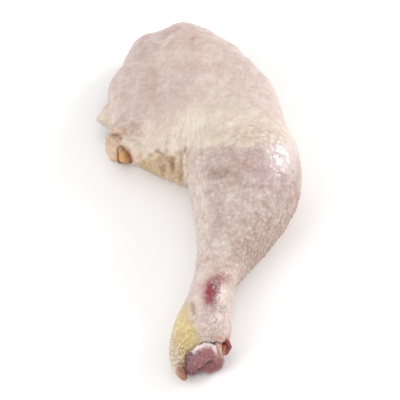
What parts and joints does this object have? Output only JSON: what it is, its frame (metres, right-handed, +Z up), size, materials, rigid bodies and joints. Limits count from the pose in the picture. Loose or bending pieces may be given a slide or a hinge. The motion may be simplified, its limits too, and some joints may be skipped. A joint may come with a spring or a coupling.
{
  "type": "raw chicken leg quarter",
  "caption": "Raw chicken leg quarter lying skin side up: thigh with a folded skin corner, tapering drumstick, and the cut knuckle of the shin bone at the hock.",
  "frame": {"origin": "on the surface it rests on, under the middle of the leg quarter's box", "axes": "+Y from the cut hock towards the hip, along the leg's length; +X towards the calf; +Z up, skin side up"},
  "size_m": [0.1002, 0.2222, 0.0455],
  "materials": {
    "skin": "moist raw poultry skin, cream over the thigh and mauve pink over the drumstick",
    "meat": "moist raw dark poultry meat",
    "knuckle": "wet maroon cut bone with a rim of white gristle",
    "tendon": "wet dark red tendon",
    "fat": "moist orange yellow fat"
  },
  "bodies": {
    "root": {"leg": "skin", "thigh_meat": "meat", "shank_bone": "knuckle", "hock_scrap": "tendon", "thigh_fat": "fat"}
  },
  "joints": []
}
